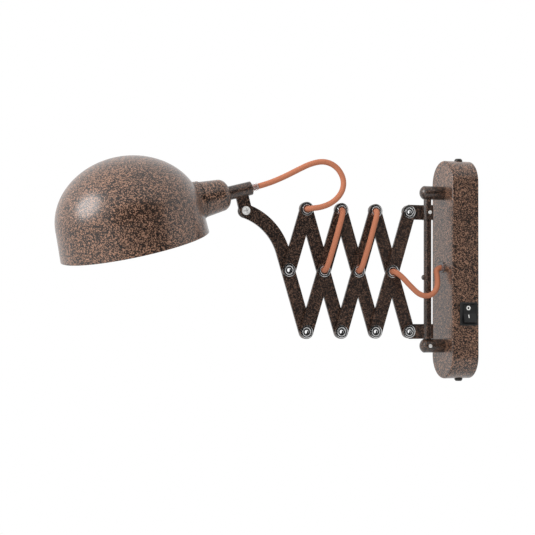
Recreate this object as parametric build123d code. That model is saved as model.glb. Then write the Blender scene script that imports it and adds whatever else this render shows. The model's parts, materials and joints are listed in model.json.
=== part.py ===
"""Scissor-arm wall lamp with a dome shade, as an assembly of separate pieces.

Millimetres. X points out of the wall, Y to the right of someone who faces it, Z up.
The origin lies on the wall plane, at the centre of the wall box.
The arm is modelled folded back, as it rests with the lower collar on the lower post.
"""

import os
from math import asin, atan2, ceil, cos, degrees, hypot, pi, radians, sin, sqrt, tan

from build123d import *

# ---- wall box ----
BOX_HEIGHT = 200.0
BOX_WIDTH = 42.0
BOX_DEPTH = 26.0
BOX_WALL = 1.2
BOX_EDGE = 1.6  # rounding of the front edge
BOX_SCREW_OUT = 9.5  # side screws, from the wall plane
BOX_SCREW_D = 4.0
BOX_SCREW_HEAD_D = 7.4
BOX_SCREW_HEAD = 2.4
BOX_SCREW_LENGTH = 9.0

# ---- wall bracket ----
BRACKET_WIDTH = 24.0
BRACKET_PLATE = 1.6
BRACKET_GAP = 0.6  # between its end tabs and the box's end walls
BRACKET_TAB = 14.0  # how far the end tabs stand off the wall
WALL_SLOT_SPACING = 110.0
WALL_SLOT_WIDTH = 5.0
WALL_SLOT_LENGTH = 12.0
CABLE_HOLE_D = 14.0
CABLE_HOLE_DOWN = 26.0

# ---- posts that carry the pivot rod ----
POST_SPACING = 140.0
POST_D = 12.4
POST_DOME = 3.6
ROD_STANDOFF = 15.0  # box front to rod axis
POST_BEYOND_ROD = 7.4
POST_STUD_D = 6.0
POST_STUD_IN = 7.5
POST_NUT_ACROSS = 10.0
POST_NUT_HIGH = 4.0

# ---- pivot rod and its collars ----
ROD_D = 7.0
ROD_IN_POST = 3.0  # past the post's axis
ROD_PLAY = 0.06
STOP_PIN_D = 4.6
STOP_PIN_OUT = 2.0
STOP_PIN_IN = 2.4
STOP_PIN_DOWN = 7.6  # below the box's centre
COLLAR_D = 10.6
COLLAR_HEIGHT = 13.4
COLLAR_SLIDE_PLAY = 0.10
COLLAR_SEAT_GAP = 0.3
TAB_REACH = 19.0  # rod axis to the first pivot
GRUB_D = 3.4
GRUB_LENGTH = 4.6
GRUB_PROUD = 0.5

# ---- scissor bars ----
BAR_PITCH = 113.6  # between a bar's end holes
BAR_WIDTH = 12.5
BAR_THICK = 2.0
LAYER_GAP = 0.2  # between the front and the back layer
REST_LEAN = 17.0  # of each bar from the vertical, in degrees
CELLS = 3  # full crossings between the collars and the short link
ARM_STRAIGHT = 17.0  # of the curved arm past its middle pivot
ARM_BEND_R = 52.5
ARM_BEND = 56.5

# ---- hollow rivets ----
EYELET_HOLE_D = 6.6
EYELET_WALL = 0.5
EYELET_FLANGE_D = 11.4
EYELET_FLANGE = 0.8
EYELET_PLAY = 0.06

# ---- head joint ----
YOKE_RISE = 18.0  # tilt screw to the sleeve's axis
YOKE_WIDTH = 11.4
YOKE_THICK = 2.4
SLEEVE_D = 12.0
SLEEVE_LENGTH = 21.4
SLEEVE_BACK = 10.0  # of it, behind the stem's middle
HEAD_DROOP = 14.5  # of the sleeve's axis, in degrees
HEAD_ROLL = 7.5  # of the shade about the sleeve's axis
TILT_SCREW_D = 4.0
TILT_HEAD_D = 7.6
TILT_HEAD = 2.2
TILT_NUT_ACROSS = 7.0
TILT_NUT_HIGH = 3.2
TILT_WASHER_D = 9.0
TILT_WASHER = 0.8
TILT_GAP = 0.1

# ---- cup, nipple and lamp holder ----
CUP_LENGTH = 24.4
CUP_MOUTH_R = 15.7
CUP_BACK_R = 13.9
CUP_BACK_ROUND = 8.0
CUP_WALL = 1.2
CUP_BASE = 3.2  # thickness of its back, where the nut bears
CUP_SEAT_R = 9.0
SLEEVE_CUP_GAP = 0.2
NIPPLE_D = 10.0
NIPPLE_BORE_D = 7.0
NIPPLE_PLAY = 0.06
NIPPLE_TAIL = 1.0  # short of the sleeve's outer end
NIPPLE_NUT_ACROSS = 14.0
NIPPLE_NUT_HIGH = 3.0
NIPPLE_IN_HOLDER = 4.0
HOLDER_D = 24.6
HOLDER_NOSE_R = 10.3
HOLDER_FRONT = 26.0  # past the cup's mouth
HOLDER_SHOULDER_D = 28.2
HOLDER_SHOULDER = 2.0  # of it, inside the cup
SEAM = 0.8  # of the shoulder, between the cup and the shade
SOCKET_D = 14.0
SOCKET_SHELL = 0.5
SOCKET_DEPTH = 22.0
SOCKET_CHAMFER = 1.0
CONTACT_D = 5.0
CONTACT_HIGH = 3.0
RING_D = 28.6
RING_HIGH = 6.0
FIT_GAP = 0.15

# ---- shade ----
SHADE_RIM_R = 64.0
SHADE_FLARE = 1.4  # how much wider the rim is than the waist
SHADE_WAIST_UP = 24.0
SHADE_HEIGHT = 77.0
SHADE_WALL = 1.2
SHADE_BEAD = 0.8
NECK_LENGTH = 2.4  # past the waist
NECK_R = 16.6
NECK_UP = 25.5
NECK_PLAIN = 1.0  # straight length before the neck widens
NECK_FLARE_R = 14.0
NECK_FLARE_TURN = 60.0
NECK_SINK = 3.0  # of the widened end into the dome
NECK_LIP = 1.5

# ---- cord ----
CORD_D = 5.0
CORD_SIDES = 8
CORD_EXIT_BEND = 5.0  # one diameter, where it turns out of a rivet
CORD_LIFT = 6.6  # of its centre line from the arm's middle plane
WALL_LOOP_OUT = 6.8
WALL_LOOP_DROP = 24.6
WALL_LOOP_ASIDE = 11.0
HEAD_LOOP_BACK = 33.2
HEAD_LOOP_RISE = 42.8
HEAD_LOOP_ASIDE = 8.4
CORD_BOW = 1.0  # how much more it stands off half way along a bar
GRIP_D = 6.6
GRIP_WALL = 0.6
CASE_GRIP_OUT = 2.0
CASE_GRIP_IN = 9.0
CASE_GRIP_FLANGE_D = 10.0
CASE_GRIP_FLANGE = 1.4
CASE_GRIP_UP = 1.8
HEAD_GRIP_OUT = 6.5
HEAD_GRIP_IN = 6.0

# ---- rocker switch ----
SWITCH_DOWN = 40.7
SWITCH_OUT = 10.2
BEZEL_HIGH = 21.0
BEZEL_WIDE = 17.6
BEZEL_THICK = 1.8
BEZEL_ROUND = 1.6
SWITCH_BODY_HIGH = 19.0
SWITCH_BODY_WIDE = 15.0
SWITCH_BODY_DEEP = 14.0
ROCKER_HIGH = 16.8
ROCKER_WIDE = 12.2
ROCKER_GAP = 0.3
ROCKER_SWING = 20.0
ROCKER_SINK = 0.3  # its middle line, above the bezel
TERMINAL_LONG = 7.0
TERMINAL_WIDE = 4.8
TERMINAL_THICK = 0.8
TERMINAL_STEP = 7.0

# ---- terminal block and inner leads ----
BLOCK_HIGH = 18.0
BLOCK_WIDE = 16.0
BLOCK_DEEP = 11.0
LEAD_D = 2.2
LEAD_OUT = 3.0  # of each wire, straight out of its blade
LEAD_ASIDE = 4.0  # between the two wires, across the box
LEAD_RISE = 9.0
LEAD_END = 7.0  # straight run into the block

# ---- places that follow from the sizes ----
ROD_X = BOX_DEPTH + ROD_STANDOFF
PIVOT_X = ROD_X + TAB_REACH
LEAN = radians(REST_LEAN)
CELL_WIDTH = BAR_PITCH * sin(LEAN)
CELL_HEIGHT = BAR_PITCH * cos(LEAN)
LOW_Z = -POST_SPACING / 2 + POST_D / 2 + COLLAR_SEAT_GAP + COLLAR_HEIGHT / 2
TOP_Z = LOW_Z + CELL_HEIGHT
MID_Z = (LOW_Z + TOP_Z) / 2
FRONT_LOW = LAYER_GAP / 2
FRONT_HIGH = FRONT_LOW + BAR_THICK
BACK_HIGH = -FRONT_LOW
BACK_LOW = -FRONT_HIGH
HOLE_R = EYELET_HOLE_D / 2 + EYELET_WALL + EYELET_PLAY
SHADE_WAIST_R = SHADE_RIM_R - SHADE_FLARE
NECK_REACH = SHADE_WAIST_R + NECK_LENGTH  # shade axis to the neck's end


def top(column):
    """Upper pivot of a column, counted from the wall."""
    return (PIVOT_X + CELL_WIDTH * column, TOP_Z)


def low(column):
    return (PIVOT_X + CELL_WIDTH * column, LOW_Z)


def mid(column):
    return (PIVOT_X + CELL_WIDTH * (column + 0.5), MID_Z)


# ---- helpers ----
def slab_y(sketch, y_low, y_high):
    """A sketch in X and Z, between two heights along Y."""
    return extrude(Plane.XZ.offset(-y_high) * sketch, amount=y_high - y_low)


def slab_x(sketch, x_low, x_high):
    """A sketch in Y and Z, between two heights along X."""
    return extrude(Plane.YZ.offset(x_low) * sketch, amount=x_high - x_low)


def slab_z(sketch, z_low, z_high):
    return extrude(Plane.XY.offset(z_low) * sketch, amount=z_high - z_low)


def disc_y(point, radius, y_low, y_high):
    return slab_y(Pos(point[0], point[1]) * Circle(radius), y_low, y_high)


def turned(points):
    """A solid of revolution about Z from radius and height pairs."""
    outline = make_face(Plane.XZ * Polyline(*points, close=True))
    return revolve(outline, Axis.Z)


def block(x_low, x_high, y_low, y_high, z_low, z_high):
    centre = ((x_low + x_high) / 2, (y_low + y_high) / 2, (z_low + z_high) / 2)
    return Pos(*centre) * Box(x_high - x_low, y_high - y_low, z_high - z_low)


def along(start, direction):
    """A place with its Z on the given direction."""
    return Plane(origin=start, z_dir=direction).location


def strip(start, end, width):
    """Flat bar outline with round ends, between two points in X and Z."""
    length = hypot(end[0] - start[0], end[1] - start[1])
    angle = degrees(atan2(end[1] - start[1], end[0] - start[0]))
    middle = ((start[0] + end[0]) / 2, (start[1] + end[1]) / 2)
    return Pos(*middle) * Rot(0, 0, angle) * SlotCenterToCenter(length, width)


def hexagon(across):
    return RegularPolygon(across / 2, 6, major_radius=False)


def bent_radius(points, index):
    """The widest arc that the two runs at a point leave room for."""
    before = Vector(*points[index]) - Vector(*points[index - 1])
    after = Vector(*points[index + 1]) - Vector(*points[index])
    turn = radians(before.get_angle(after))
    return 0.45 * min(before.length, after.length) / tan(turn / 2)


def cord(name, points, diameter=CORD_D, tight=()):
    """A faceted tube along straight runs that are joined by arcs."""
    radii = [bent_radius(points, i) for i in range(1, len(points) - 1)]
    for corner in tight:
        radii[corner] = CORD_EXIT_BEND
    path = FilletPolyline(*points, radius=radii)
    section = RegularPolygon(diameter / 2 * sqrt(pi / (4 * sqrt(2) / 2)), CORD_SIDES)
    tube = sweep((path ^ 0) * section, path=path)
    area = section.area
    share = tube.volume / (area * path.length)
    print(f"{name}: length {path.length:.1f}, radii {[round(r, 1) for r in radii]}, volume share {share:.4f}")
    return tube


# ---- wall box ----
def stadium(height, width):
    return Rot(0, 0, 90) * SlotOverall(height, width)


def wall_box():
    shell = slab_x(stadium(BOX_HEIGHT, BOX_WIDTH), 0, BOX_DEPTH)
    shell = fillet(shell.edges().group_by(Axis.X)[-1], BOX_EDGE)
    hollow_height = BOX_HEIGHT - 2 * BOX_WALL
    hollow_width = BOX_WIDTH - 2 * BOX_WALL
    shell -= slab_x(stadium(hollow_height, hollow_width), -1, BOX_DEPTH - BOX_WALL)
    stud_hole = Circle(POST_STUD_D / 2 + FIT_GAP)
    for side in (1, -1):
        shell -= slab_x(Pos(0, side * POST_SPACING / 2) * stud_hole, 0, BOX_DEPTH + 1)
        screw_hole = Pos(BOX_SCREW_OUT, 0) * Circle(BOX_SCREW_D / 2 + FIT_GAP)
        z_in = BOX_HEIGHT / 2 - 2 * BOX_WALL
        z_low, z_high = sorted((side * z_in, side * (BOX_HEIGHT / 2 + 1)))
        shell -= slab_z(screw_hole, z_low, z_high)
    shell -= slab_x(Pos(0, CASE_GRIP_UP) * Circle(GRIP_D / 2 + FIT_GAP), 0, BOX_DEPTH + 1)
    window = block(
        SWITCH_OUT - SWITCH_BODY_WIDE / 2 - FIT_GAP,
        SWITCH_OUT + SWITCH_BODY_WIDE / 2 + FIT_GAP,
        0,
        BOX_WIDTH,
        -SWITCH_DOWN - SWITCH_BODY_HIGH / 2 - FIT_GAP,
        -SWITCH_DOWN + SWITCH_BODY_HIGH / 2 + FIT_GAP,
    )
    return shell - window


def bracket_half_height():
    return BOX_HEIGHT / 2 - BOX_WALL - BRACKET_GAP


def wall_bracket():
    """Strip with two wall slots, a cable hole and a bent tab at each end."""
    half = bracket_half_height()
    plate = block(0, BRACKET_PLATE, -BRACKET_WIDTH / 2, BRACKET_WIDTH / 2, -half, half)
    cap = stadium(2 * half, BOX_WIDTH - 2 * BOX_WALL - 2 * BRACKET_GAP)
    tab_width = BRACKET_WIDTH / 3
    for side in (1, -1):
        z_low, z_high = sorted((side * half, side * (half - BRACKET_PLATE)))
        plate += block(0, BRACKET_TAB, -tab_width / 2, tab_width / 2, z_low, z_high)
    plate &= slab_x(cap, 0, BOX_DEPTH)
    for side in (1, -1):
        slot = Pos(0, side * WALL_SLOT_SPACING / 2) * Rot(0, 0, 90)
        slot *= SlotOverall(WALL_SLOT_LENGTH, WALL_SLOT_WIDTH)
        plate -= slab_x(slot, -1, BRACKET_PLATE + 1)
        tapped = Pos(BOX_SCREW_OUT, 0) * Circle(BOX_SCREW_D / 2 + FIT_GAP)
        z_low, z_high = sorted((side * (half - 3 * BRACKET_PLATE), side * (half + 1)))
        plate -= slab_z(tapped, z_low, z_high)
    cable_hole = Pos(0, CABLE_HOLE_DOWN) * Circle(CABLE_HOLE_D / 2)
    return plate - slab_x(cable_hole, -1, BRACKET_PLATE + 1)


def pan_screw(diameter, length, head_d, head, recess=True):
    """Pan-head screw along Z: the seat of its head is at 0 and the shank goes down."""
    edge = head_d / 2
    screw = turned(
        (
            (0, -length),
            (diameter / 2, -length),
            (diameter / 2, 0),
            (edge, 0),
            (edge, head * 0.45),
            (edge * 0.72, head),
            (0, head),
        )
    )
    if recess:
        blade = block(-edge * 0.5, edge * 0.5, -head * 0.14, head * 0.14, head * 0.45, head + 1)
        screw -= blade
        screw -= Rot(0, 0, 90) * blade
    return screw


def box_screws():
    screws = []
    for side in (1, -1):
        place = along((BOX_SCREW_OUT, 0, side * BOX_HEIGHT / 2), (0, 0, side))
        screw = pan_screw(BOX_SCREW_D, BOX_SCREW_LENGTH, BOX_SCREW_HEAD_D, BOX_SCREW_HEAD, False)
        screws.append(place * screw)
    return screws


# ---- posts ----
def post(side):
    """Round bar with a domed end, bored across for the rod, and a stud behind."""
    length = ROD_STANDOFF + POST_BEYOND_ROD
    radius = POST_D / 2
    straight = length - POST_DOME
    stud = BOX_WALL + POST_STUD_IN
    cap_r = (radius**2 + POST_DOME**2) / (2 * POST_DOME)
    half_way = asin(radius / cap_r) / 2
    on_cap = (cap_r * sin(half_way), length - cap_r * (1 - cos(half_way)))
    foot = Polyline((0, -stud), (POST_STUD_D / 2, -stud), (POST_STUD_D / 2, 0), (radius, 0), (radius, straight))
    dome = ThreePointArc((radius, straight), on_cap, (0, length))
    body = revolve(make_face(Plane.XZ * (foot + dome + Line((0, length), (0, -stud)))), Axis.Z)
    body = along((BOX_DEPTH, 0, side * POST_SPACING / 2), (1, 0, 0)) * body
    bore = Pos(ROD_X, 0) * Circle(ROD_D / 2 + ROD_PLAY)
    inner = side * (POST_SPACING / 2 + ROD_IN_POST + COLLAR_SEAT_GAP)
    z_low, z_high = sorted((inner, side * (POST_SPACING / 2 - POST_D)))
    return body - slab_z(bore, z_low, z_high)


def grub_hole(diameter, point, depth):
    """Cross hole from the +Y side."""
    return disc_y(point, diameter / 2, 0, depth)


def post_nuts():
    nuts = []
    for side in (1, -1):
        outline = Pos(0, side * POST_SPACING / 2) * (
            hexagon(POST_NUT_ACROSS) - Circle(POST_STUD_D / 2 + FIT_GAP)
        )
        back = BOX_DEPTH - BOX_WALL
        nuts.append(slab_x(outline, back - POST_NUT_HIGH, back))
    return nuts


def grub(point, surface, inner):
    """Slotted set screw that bears on the rod, its end just proud of the surface."""
    screw = disc_y(point, GRUB_D / 2, inner, surface + GRUB_PROUD)
    x, z = point
    slot = block(x - GRUB_D, x + GRUB_D, surface, surface + GRUB_PROUD + 1, z - 0.35, z + 0.35)
    return screw - slot


# ---- pivot rod ----
def pivot_rod():
    reach = POST_SPACING / 2 + ROD_IN_POST
    rod = slab_z(Pos(ROD_X, 0) * Circle(ROD_D / 2), -reach, reach)
    socket = along((ROD_X + ROD_D / 2 - STOP_PIN_IN, 0, -STOP_PIN_DOWN), (1, 0, 0))
    return rod - socket * Cylinder(
        STOP_PIN_D / 2 + FIT_GAP / 3, ROD_D, align=(Align.CENTER, Align.CENTER, Align.MIN)
    )


def stop_pin():
    length = STOP_PIN_IN + STOP_PIN_OUT
    radius = STOP_PIN_D / 2
    body = turned(((0, 0), (radius, 0), (radius, length - 0.8), (radius * 0.6, length), (0, length)))
    return along((ROD_X + ROD_D / 2 - STOP_PIN_IN, 0, -STOP_PIN_DOWN), (1, 0, 0)) * body


def collar(pivot, y_low, y_high, play, grub_at):
    """Sleeve on the rod with a flat tab that reaches the first pivot."""
    x, z = pivot
    sleeve = slab_z(Pos(ROD_X, 0) * Circle(COLLAR_D / 2), z - COLLAR_HEIGHT / 2, z + COLLAR_HEIGHT / 2)
    tab = strip((ROD_X, z), pivot, BAR_WIDTH)
    tab += Pos((ROD_X + x) / 2, z) * Rectangle(x - ROD_X, COLLAR_HEIGHT)
    tab &= Pos((ROD_X + x) / 2 + BAR_WIDTH, z) * Rectangle(x - ROD_X + 2 * BAR_WIDTH, COLLAR_HEIGHT)
    part = sleeve + slab_y(tab, y_low, y_high)
    part -= slab_z(Pos(ROD_X, 0) * Circle(ROD_D / 2 + play), z - COLLAR_HEIGHT, z + COLLAR_HEIGHT)
    part -= disc_y(pivot, HOLE_R, y_low - 1, y_high + 1)
    if grub_at:
        part -= grub_hole(GRUB_D + 2 * FIT_GAP / 3, (ROD_X, z), COLLAR_D)
    return part


# ---- scissor bars ----
def bar(start, end, pivots, y_low, y_high):
    outline = strip(start, end, BAR_WIDTH)
    for point in pivots:
        outline -= Pos(*point) * Circle(HOLE_R)
    return slab_y(outline, y_low, y_high)


def arm_points():
    """Where the curved arm's bend starts, its centre, and the tilt screw."""
    heading = pi / 2 - LEAN
    middle = mid(CELLS)
    start = (middle[0] + ARM_STRAIGHT * cos(heading), middle[1] + ARM_STRAIGHT * sin(heading))
    centre = (start[0] + ARM_BEND_R * sin(heading), start[1] - ARM_BEND_R * cos(heading))
    last = heading - radians(ARM_BEND)
    screw = (centre[0] - ARM_BEND_R * sin(last), centre[1] + ARM_BEND_R * cos(last))
    return start, centre, screw


BEND_START, BEND_CENTRE, TILT = arm_points()


def curved_arm():
    start_angle = 180 - REST_LEAN
    arc = CenterArc(BEND_CENTRE, ARM_BEND_R, start_angle, -ARM_BEND)
    line = Line(low(CELLS), BEND_START)
    outline = strip(low(CELLS), BEND_START, BAR_WIDTH)
    outer = CenterArc(BEND_CENTRE, ARM_BEND_R + BAR_WIDTH / 2, start_angle, -ARM_BEND)
    inner = CenterArc(BEND_CENTRE, ARM_BEND_R - BAR_WIDTH / 2, start_angle, -ARM_BEND)
    sides = [Line(outer @ 0, inner @ 0), Line(outer @ 1, inner @ 1)]
    outline += make_face(Wire([outer.edge(), sides[0].edge(), inner.edge(), sides[1].edge()]))
    outline += Pos(*TILT) * Circle(BAR_WIDTH / 2)
    outline -= Pos(*low(CELLS)) * Circle(HOLE_R)
    outline -= Pos(*mid(CELLS)) * Circle(HOLE_R)
    outline -= Pos(*TILT) * Circle(TILT_SCREW_D / 2 + EYELET_PLAY)
    assert abs((arc @ 0 - line @ 1).length) < 0.01
    return slab_y(outline, BACK_LOW, BACK_HIGH)


def eyelet(point):
    """Hollow rivet through both layers, with a rolled flange on each face."""
    bore = EYELET_HOLE_D / 2
    barrel = bore + EYELET_WALL
    flange = EYELET_FLANGE_D / 2
    front = FRONT_HIGH
    back = BACK_LOW - TILT_GAP
    rim = EYELET_FLANGE
    body = turned(
        (
            (bore, back - rim * 0.5),
            (barrel, back - rim),
            (flange, back - rim * 0.5),
            (flange, back),
            (barrel, back),
            (barrel, front),
            (flange, front),
            (flange, front + rim * 0.5),
            (barrel, front + rim),
            (bore, front + rim * 0.5),
        )
    )
    return along((point[0], 0, point[1]), (0, 1, 0)) * body


# ---- head frame: X runs from the sleeve to the shade, Z up, origin at the sleeve's centre ----
DROOP = radians(HEAD_DROOP)
SLEEVE_CENTRE = (TILT[0] + YOKE_RISE * sin(DROOP), TILT[1] + YOKE_RISE * cos(DROOP))
HEAD_PLACE = Pos(SLEEVE_CENTRE[0], 0, SLEEVE_CENTRE[1]) * Rot(0, HEAD_DROOP, 0)
SHADE_PLACE = HEAD_PLACE * Rot(-HEAD_ROLL, 0, 0)
CUP_BACK = SLEEVE_LENGTH - SLEEVE_BACK + SLEEVE_CUP_GAP
CUP_MOUTH = CUP_BACK + CUP_LENGTH
SHADE_END = CUP_MOUTH + SEAM
SHADE_AXIS = SHADE_END + NECK_REACH
HOLDER_BACK = CUP_BACK + CUP_BASE + NIPPLE_NUT_HIGH
SOCKET_MOUTH = CUP_MOUTH + HOLDER_FRONT - SOCKET_CHAMFER
SOCKET_FLOOR = SOCKET_MOUTH - SOCKET_DEPTH - CONTACT_HIGH


def turned_x(points):
    """Solid of revolution about the head's X, from position and radius pairs."""
    return revolve(make_face(Plane.XZ * Polyline(*points, close=True)), Axis.X)


def head_yoke():
    """Tube that carries the head, welded to a flat stem with a round end."""
    sleeve = slab_x(Circle(SLEEVE_D / 2), -SLEEVE_BACK, SLEEVE_LENGTH - SLEEVE_BACK)
    stem = strip((0, -YOKE_RISE), (0, 0), YOKE_WIDTH)
    stem &= Pos(0, -YOKE_RISE / 2 - YOKE_WIDTH) * Rectangle(2 * YOKE_WIDTH, YOKE_RISE + 2 * YOKE_WIDTH)
    yoke = sleeve + slab_y(stem, FRONT_LOW, FRONT_LOW + YOKE_THICK)
    yoke -= slab_x(Circle(NIPPLE_D / 2 + NIPPLE_PLAY), -SLEEVE_LENGTH, SLEEVE_LENGTH)
    yoke -= disc_y((0, -YOKE_RISE), TILT_SCREW_D / 2 + FIT_GAP, -SLEEVE_D, SLEEVE_D)
    return HEAD_PLACE * yoke


def tilt_screw():
    front = FRONT_LOW + YOKE_THICK
    length = front - BACK_LOW + TILT_GAP + TILT_WASHER + TILT_NUT_HIGH + 0.8
    screw = pan_screw(TILT_SCREW_D, length, TILT_HEAD_D, TILT_HEAD)
    place = HEAD_PLACE * Pos(0, front, -YOKE_RISE) * Rot(-90, 0, 0)
    return place * screw


def tilt_washer():
    outline = Pos(0, -YOKE_RISE) * (Circle(TILT_WASHER_D / 2) - Circle(TILT_SCREW_D / 2 + FIT_GAP / 3))
    high = BACK_LOW - TILT_GAP
    return HEAD_PLACE * slab_y(outline, high - TILT_WASHER, high)


def tilt_nut():
    outline = Pos(0, -YOKE_RISE) * (hexagon(TILT_NUT_ACROSS) - Circle(TILT_SCREW_D / 2 + FIT_GAP / 3))
    high = BACK_LOW - TILT_GAP - TILT_WASHER
    return HEAD_PLACE * slab_y(outline, high - TILT_NUT_HIGH, high)


def lamp_cup():
    """Spun cup with a rounded back and a thick seat for the nut."""
    back_flat = CUP_BACK_R - CUP_BACK_ROUND
    corner = (CUP_BACK + CUP_BACK_ROUND, CUP_BACK_R)
    diagonal = CUP_BACK_ROUND * (1 - cos(pi / 4))
    on_round = (CUP_BACK + diagonal, CUP_BACK_R - diagonal)
    outline = Line((CUP_BACK, 0), (CUP_BACK, back_flat))
    outline += ThreePointArc((CUP_BACK, back_flat), on_round, corner)
    outline += Polyline(corner, (CUP_MOUTH, CUP_MOUTH_R), (CUP_MOUTH, 0), (CUP_BACK, 0))
    seat = CUP_BACK + CUP_BASE
    hollow = turned_x(
        (
            (seat, 0),
            (seat, CUP_SEAT_R),
            (corner[0], CUP_BACK_R - CUP_WALL),
            (CUP_MOUTH + 1, CUP_MOUTH_R - CUP_WALL),
            (CUP_MOUTH + 1, 0),
        )
    )
    hole = slab_x(Circle(NIPPLE_D / 2 + FIT_GAP), 0, CUP_MOUTH)
    return SHADE_PLACE * (revolve(make_face(Plane.XZ * outline), Axis.X) - hollow - hole)


def nipple():
    tail = -SLEEVE_BACK + NIPPLE_TAIL
    end = HOLDER_BACK + NIPPLE_IN_HOLDER
    ring = Circle(NIPPLE_D / 2) - Circle(NIPPLE_BORE_D / 2)
    return SHADE_PLACE * slab_x(ring, tail, end)


def nipple_nut():
    back = CUP_BACK + CUP_BASE
    outline = hexagon(NIPPLE_NUT_ACROSS) - Circle(NIPPLE_D / 2 + FIT_GAP / 3)
    return SHADE_PLACE * slab_x(outline, back, back + NIPPLE_NUT_HIGH)


def lampholder():
    """Moulded holder with a shoulder that sits between the cup and the shade's lip."""
    back = HOLDER_BACK
    front = CUP_MOUTH + HOLDER_FRONT
    radius = HOLDER_D / 2
    shoulder = HOLDER_SHOULDER_D / 2
    body = turned_x(
        (
            (back, 0),
            (back, HOLDER_NOSE_R),
            (back + 3.0, radius - 0.5),
            (CUP_MOUTH - HOLDER_SHOULDER, radius),
            (CUP_MOUTH - HOLDER_SHOULDER, shoulder),
            (SHADE_END, shoulder),
            (SHADE_END, radius),
            (front - 1.5, radius),
            (front, radius - 1.0),
            (front, 0),
        )
    )
    body -= slab_x(Circle(NIPPLE_D / 2 + NIPPLE_PLAY), back - 1, back + NIPPLE_IN_HOLDER)
    bore = SOCKET_D / 2 + SOCKET_SHELL
    body -= turned_x(
        (
            (SOCKET_FLOOR, 0),
            (SOCKET_FLOOR, bore),
            (SOCKET_MOUTH, bore),
            (front + 1, bore + SOCKET_CHAMFER + 1),
            (front + 1, 0),
        )
    )
    return SHADE_PLACE * body


def socket_shell():
    ring = Circle(SOCKET_D / 2 + SOCKET_SHELL) - Circle(SOCKET_D / 2)
    return SHADE_PLACE * slab_x(ring, SOCKET_MOUTH - SOCKET_DEPTH, SOCKET_MOUTH)


def centre_contact():
    edge = SOCKET_FLOOR + CONTACT_HIGH * 0.6
    tip = SOCKET_FLOOR + CONTACT_HIGH
    radius = CONTACT_D / 2
    button = turned_x(((SOCKET_FLOOR, 0), (SOCKET_FLOOR, radius), (edge, radius), (tip, radius / 3), (tip, 0)))
    return SHADE_PLACE * button


def shade_ring():
    """Threaded ring on the holder that clamps the shade's lip from inside."""
    face = SHADE_END + NECK_LIP
    outline = Circle(RING_D / 2) - Circle(HOLDER_D / 2 + FIT_GAP / 3)
    ring = slab_x(outline, face, face + RING_HIGH)
    for step in range(12):
        notch = Rot(0, 0, step * 30) * Pos(RING_D / 2, 0) * Circle(0.9)
        ring -= slab_x(notch, face + RING_HIGH * 0.3, face + RING_HIGH + 1)
    return SHADE_PLACE * ring


# ---- shade ----
def dome(rim_r, waist_r, height):
    """Slightly flared wall under a flattened dome, open below, about Z."""
    rise = height - SHADE_WAIST_UP
    wall = Line((rim_r, 0), (waist_r, SHADE_WAIST_UP))
    cap = EllipticalCenterArc((0, SHADE_WAIST_UP), waist_r, rise, start_angle=0, arc_size=90)
    ends = Line((0, height), (0, 0)) + Line((0, 0), (rim_r, 0))
    return revolve(make_face(Plane.XZ * (wall + cap + ends)), Axis.Z)


def neck(thinner):
    """Round stub on the shade's side that widens into the dome on a hollow curve."""
    radius = NECK_R - thinner
    bend = NECK_FLARE_R + thinner
    start = -NECK_REACH + NECK_PLAIN
    turn = radians(NECK_FLARE_TURN)
    end = (start + bend * sin(turn), radius + bend * (1 - cos(turn)))
    middle = (start + bend * sin(turn / 2), radius + bend * (1 - cos(turn / 2)))
    outline = Polyline((-NECK_REACH, 0), (-NECK_REACH, radius), (start, radius))
    outline += ThreePointArc((start, radius), middle, end)
    sunk = end[0] + NECK_SINK
    outline += Polyline(end, (sunk, end[1]), (sunk, 0), (-NECK_REACH, 0))
    return Pos(0, 0, NECK_UP) * revolve(make_face(Plane.XZ * outline), Axis.X)


def shade():
    outer = dome(SHADE_RIM_R, SHADE_WAIST_R, SHADE_HEIGHT) + neck(0)
    inner = dome(SHADE_RIM_R - SHADE_WALL, SHADE_WAIST_R - SHADE_WALL, SHADE_HEIGHT - SHADE_WALL)
    behind_lip = slab_x(Pos(0, NECK_UP) * Circle(SHADE_RIM_R), -NECK_REACH + NECK_LIP, 0)
    inner += neck(SHADE_WALL) & behind_lip
    hole = Pos(0, NECK_UP) * Circle(HOLDER_D / 2 + FIT_GAP)
    body = outer - inner - slab_x(hole, -NECK_REACH - 1, -NECK_REACH + 2 * NECK_LIP)
    return SHADE_PLACE * Pos(SHADE_AXIS, 0, -NECK_UP) * body


# ---- cord ----
def on_bar(start, end, share, lift):
    return (start[0] + (end[0] - start[0]) * share, lift, start[1] + (end[1] - start[1]) * share)


def stretch(name, start, end, side):
    """Cord that lies along a bar from one rivet to the next, on the front or the back."""
    lift = side * CORD_LIFT
    bowed = side * (CORD_LIFT + CORD_BOW)
    points = [
        on_bar(start, end, 0, 0),
        on_bar(start, end, 0, lift),
        on_bar(start, end, 0.26, bowed),
        on_bar(start, end, 0.5, bowed + side * CORD_BOW * 0.4),
        on_bar(start, end, 0.74, bowed),
        on_bar(start, end, 1, lift),
        on_bar(start, end, 1, 0),
    ]
    return cord(name, points, tight=(0, 4))


GRIP_EXIT = (BOX_DEPTH - 2.0, 0, CASE_GRIP_UP)
HEAD_TAIL = SLEEVE_BACK + HEAD_GRIP_OUT
CORD_MEETS = SLEEVE_BACK - 1.5


def head_point(x, z=0.0):
    """A point of the head's middle plane, in the lamp's frame."""
    return (
        SLEEVE_CENTRE[0] + x * cos(DROOP) + z * sin(DROOP),
        0.0,
        SLEEVE_CENTRE[1] - x * sin(DROOP) + z * cos(DROOP),
    )


def split(points, run):
    """Cut a route in two at the middle of one of its runs."""
    first, second = points[run], points[run + 1]
    middle = tuple((a + b) / 2 for a, b in zip(first, second))
    return points[: run + 1] + [middle], [middle] + points[run + 1 :]


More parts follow.
